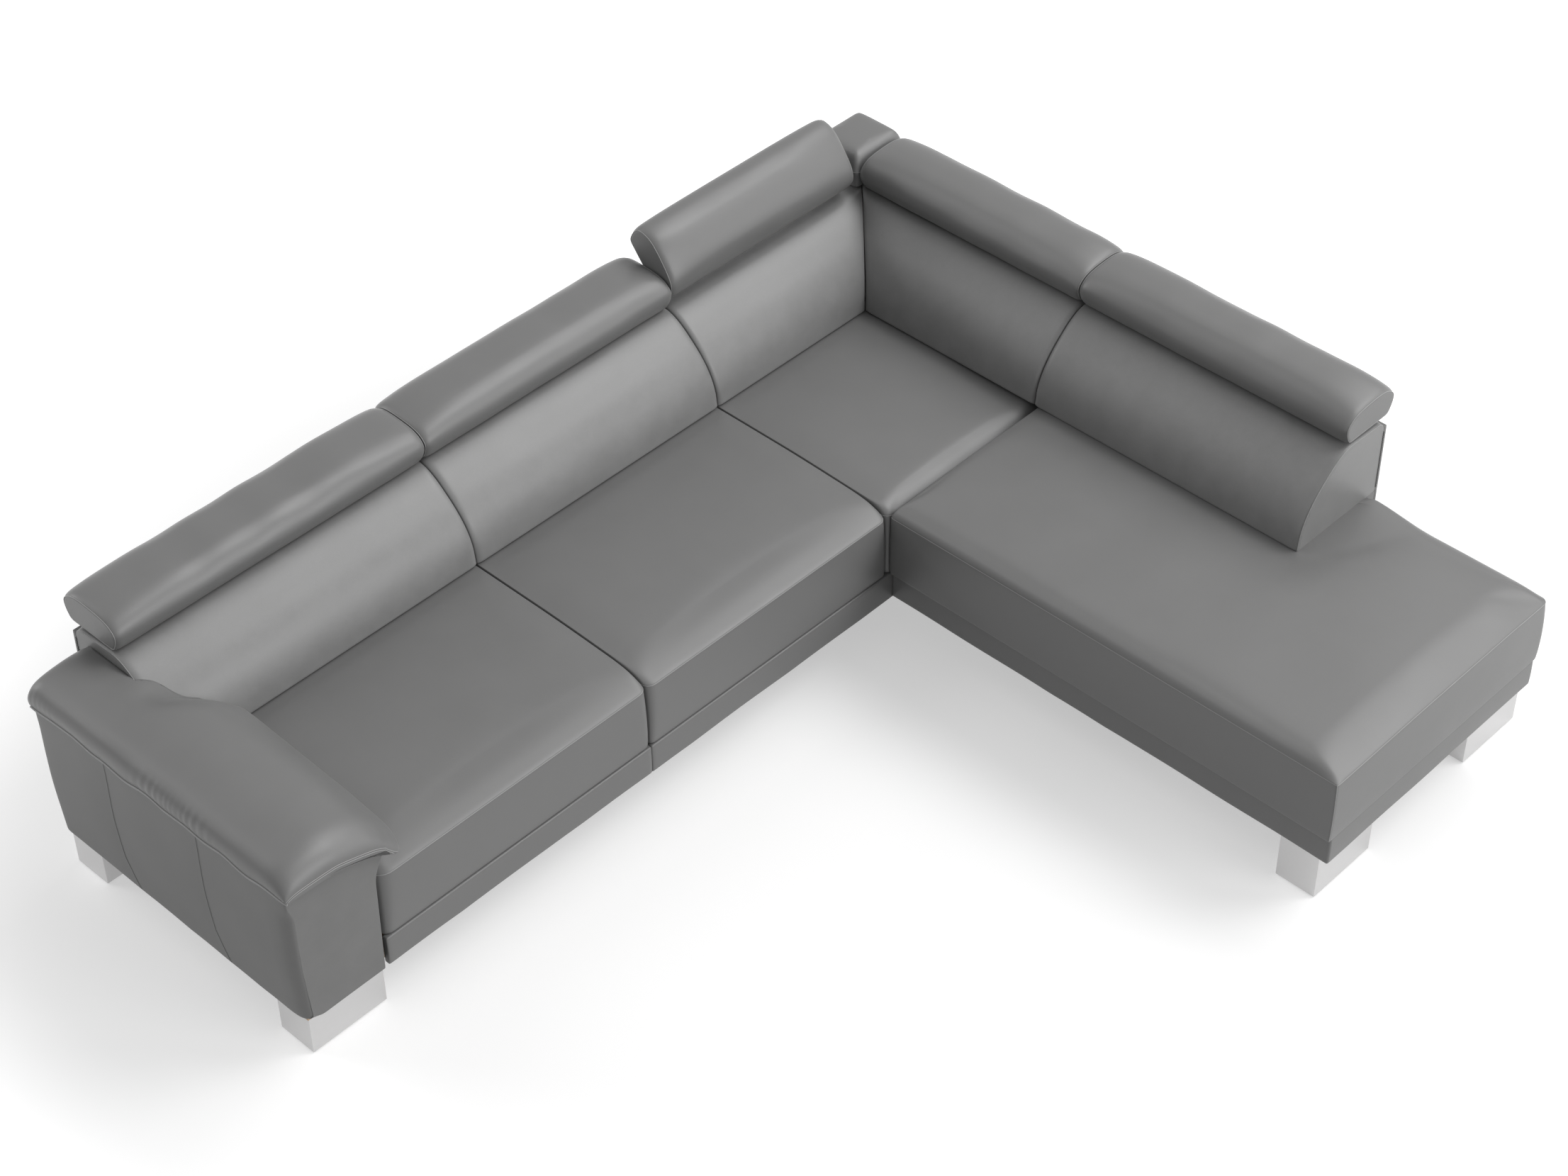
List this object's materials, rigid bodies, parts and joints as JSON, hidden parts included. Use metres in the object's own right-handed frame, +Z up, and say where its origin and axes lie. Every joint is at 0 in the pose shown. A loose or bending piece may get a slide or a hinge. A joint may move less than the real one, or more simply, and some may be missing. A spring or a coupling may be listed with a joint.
{
  "type": "corner sofa",
  "caption": "Corner sofa with an armrest, a chaise end, tilting headrests and block feet, covered in smooth leather.",
  "frame": {"origin": "centre of the corner foot's underside, on the floor", "axes": "+X along the two-seat run, from the armrest towards the corner; +Y to the rear of that run; +Z up; the chaise reaches forward along -Y"},
  "size_m": [2.816, 2.278, 0.8755],
  "materials": {
    "grey_leather": "smooth, fine grain, satin sheen",
    "foam": "open cell foam, matt",
    "timber": "sawn pine and plywood",
    "zinc_steel": "bright zinc plate",
    "webbing": "woven elastic strap",
    "dust_cloth": "thin black non-woven cloth",
    "foot_silver": "pale silver, satin",
    "black_plastic": "moulded, matt"
  },
  "bodies": {
    "sofa": {"seat_1_cover": "grey_leather", "seat_2_cover": "grey_leather", "corner_seat_cover": "grey_leather", "chaise_cover": "grey_leather", "back_1_cover": "grey_leather", "back_2_cover": "grey_leather", "back_3_cover": "grey_leather", "back_4_cover": "grey_leather", "back_5_cover": "grey_leather", "corner_cap_cover": "grey_leather", "arm_cover": "grey_leather", "arm_pad_cover": "grey_leather", "run_front_panels": "grey_leather", "chaise_inner_panel": "grey_leather", "chaise_front_panel": "grey_leather", "chaise_outer_panel": "grey_leather", "run_rear_panel": "grey_leather", "side_rear_panel": "grey_leather", "seat_1_core": "foam", "seat_2_core": "foam", "corner_seat_core": "foam", "chaise_core": "foam", "back_cores": "foam", "arm_pad_core": "foam", "corner_cap_core": "timber", "arm_frame": "timber", "run_frame": "timber", "chaise_frame": "timber", "run_back_frame": "timber", "side_back_frame": "timber", "headrest_brackets": "zinc_steel", "foot_bolts": "zinc_steel", "module_connectors": "zinc_steel", "seat_webbing": "webbing", "dust_cover": "dust_cloth", "arm_feet": "foot_silver", "chaise_feet": "foot_silver", "corner_foot": "foot_silver", "support_legs": "black_plastic", "foot_glides": "black_plastic"},
    "headrest_1": {"headrest_1_cover": "grey_leather", "headrest_1_core": "foam", "headrest_1_board": "timber", "headrest_1_hinge": "zinc_steel"},
    "headrest_2": {"headrest_2_cover": "grey_leather", "headrest_2_core": "foam", "headrest_2_board": "timber", "headrest_2_hinge": "zinc_steel"},
    "headrest_3": {"headrest_3_cover": "grey_leather", "headrest_3_core": "foam", "headrest_3_board": "timber", "headrest_3_hinge": "zinc_steel"},
    "headrest_4": {"headrest_4_cover": "grey_leather", "headrest_4_core": "foam", "headrest_4_board": "timber", "headrest_4_hinge": "zinc_steel"},
    "headrest_5": {"headrest_5_cover": "grey_leather", "headrest_5_core": "foam", "headrest_5_board": "timber", "headrest_5_hinge": "zinc_steel"}
  },
  "joints": [
    {"name": "headrest_1_tilt", "type": "hinge", "parent": "sofa", "child": "headrest_1", "pos_m": [-2.025, -0.067, 0.722], "axis": [1, 0, 0], "range_deg": [0, 52]},
    {"name": "headrest_2_tilt", "type": "hinge", "parent": "sofa", "child": "headrest_2", "pos_m": [-1.154, -0.067, 0.722], "axis": [1, 0, 0], "range_deg": [0, 52]},
    {"name": "headrest_3_tilt", "type": "hinge", "parent": "sofa", "child": "headrest_3", "pos_m": [-0.404, -0.067, 0.722], "axis": [1, 0, 0], "range_deg": [-52, 0]},
    {"name": "headrest_4_tilt", "type": "hinge", "parent": "sofa", "child": "headrest_4", "pos_m": [-0.0145, -0.4495, 0.722], "axis": [0, -1, 0], "range_deg": [0, 52]},
    {"name": "headrest_5_tilt", "type": "hinge", "parent": "sofa", "child": "headrest_5", "pos_m": [-0.0145, -1.235, 0.722], "axis": [0, -1, 0], "range_deg": [0, 52]}
  ]
}
